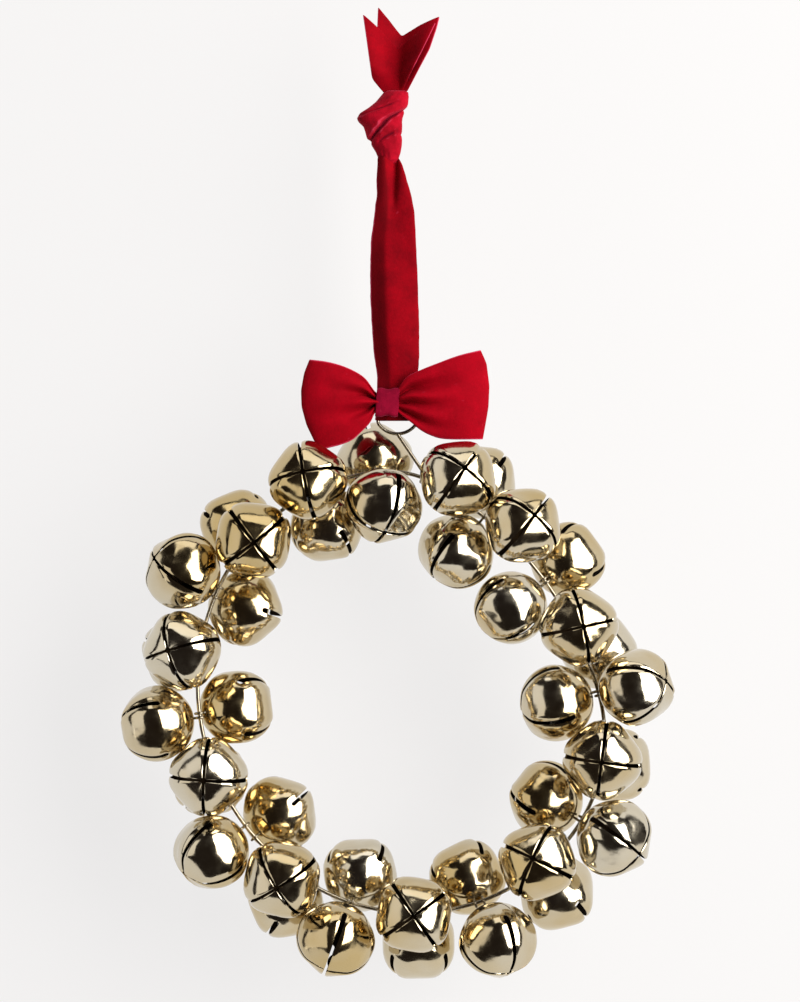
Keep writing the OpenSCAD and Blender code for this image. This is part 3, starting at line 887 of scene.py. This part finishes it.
class WREATH_OT_stage(bpy.types.Operator):
    """Set the camera, the soft lights, the pale floor and the board behind the wreath"""

    bl_idname = "wreath.stage"
    bl_label = "Stage"

    def execute(self, context):
        settings = context.scene.wreath_stage
        scene = context.scene
        scene.view_settings.view_transform = "Standard"
        frame_high = 0.4645
        lens = bpy.data.cameras.new("camera")
        lens.sensor_width = 36
        lens.lens = 36 * settings.camera_distance / frame_high
        lens.clip_start, lens.clip_end = 0.05, 30
        camera = bpy.data.objects.new("camera", lens)
        scene.collection.objects.link(camera)
        camera.location = (0.0042, -settings.camera_distance, -0.1558)
        camera.rotation_euler = (math.pi / 2, 0, 0)
        scene.camera = camera
        # Board behind, swept down into the floor
        wall_y, floor_z, bend = 0.072, -0.95, 0.25
        path = [(wall_y, 1.6), (wall_y, floor_z + bend)]
        for i in range(1, 13):
            a = math.pi / 2 * i / 12
            path.append((wall_y - bend * (1 - math.cos(a)), floor_z + bend * (1 - math.sin(a))))
        path.append((-0.45, floor_z))
        verts = [Vector((x, y, z)) for y, z in path for x in (-2.2, 2.2)]
        faces = [(2 * i, 2 * i + 2, 2 * i + 3, 2 * i + 1) for i in range(len(path) - 1)]
        floor = new_piece("pale_floor", verts, faces,
                          [lit_board("opal_board_rolled_coat", linear("#5E5D5C"), linear("#E3E2E2"))], None)
        middle = (0, 0, -0.2)
        soft_light("key_right", (1.0, -0.95, 0.15), middle, (1.3, 1.7), settings.key_power, (1, 0.985, 0.96))
        soft_light("fill_left", (-1.25, -0.7, -0.1), middle, (1.0, 1.6), 5, (1, 0.97, 0.93))
        soft_light("top", (0.0, -0.5, 1.3), middle, (1.6, 0.8), 6, (1, 0.98, 0.96))
        world = bpy.data.worlds.new("studio_room")
        scene.world = world
        world.use_nodes = True
        tree = world.node_tree
        tree.nodes.clear()
        rays = add(tree, "ShaderNodeLightPath")
        room = add(tree, "ShaderNodeBackground", Color=linear("#3A3330"), Strength=0.45)
        plain = add(tree, "ShaderNodeBackground", Color=linear("#F4F3F2"), Strength=1.0)
        mix = add(tree, "ShaderNodeMixShader", _0=rays.outputs["Is Camera Ray"],
                  _1=room.outputs["Background"], _2=plain.outputs["Background"])
        add(tree, "ShaderNodeOutputWorld", Surface=mix.outputs["Shader"])
        return {"FINISHED"}


class WREATH_PT_panel(bpy.types.Panel):
    """Buttons for the pieces of the wreath, in the order they are built"""

    bl_idname = "WREATH_PT_panel"
    bl_label = "Bell Wreath"
    bl_space_type = "VIEW_3D"
    bl_region_type = "UI"
    bl_category = "Bell Wreath"

    def draw(self, context):
        for group in ("wreath_bell", "wreath_ribbon", "wreath_bow", "wreath_stage"):
            settings = getattr(context.scene, group)
            for key in settings.__annotations__:
                self.layout.prop(settings, key)
        for operator in OPERATORS:
            self.layout.operator(operator.bl_idname)


OPERATORS = (WREATH_OT_stage, WREATH_OT_wire, WREATH_OT_loops, WREATH_OT_bells, WREATH_OT_ribbon,
             WREATH_OT_knot, WREATH_OT_tails, WREATH_OT_bow)
CLASSES = (BellSettings, RibbonSettings, BowSettings, StageSettings, *OPERATORS, WREATH_PT_panel)


def register():
    """Adds the classes and their settings to Blender."""
    for cls in CLASSES:
        bpy.utils.register_class(cls)
    bpy.types.Scene.wreath_bell = PointerProperty(type=BellSettings)
    bpy.types.Scene.wreath_ribbon = PointerProperty(type=RibbonSettings)
    bpy.types.Scene.wreath_bow = PointerProperty(type=BowSettings)
    bpy.types.Scene.wreath_stage = PointerProperty(type=StageSettings)


def unregister():
    """Takes them out again."""
    for group in ("wreath_bell", "wreath_ribbon", "wreath_bow", "wreath_stage"):
        delattr(bpy.types.Scene, group)
    for cls in reversed(CLASSES):
        bpy.utils.unregister_class(cls)


def main():
    """Builds every piece in order."""
    register()
    for operator in OPERATORS:
        group, name = operator.bl_idname.split(".")
        getattr(getattr(bpy.ops, group), name)()


if __name__ == "__main__":
    main()
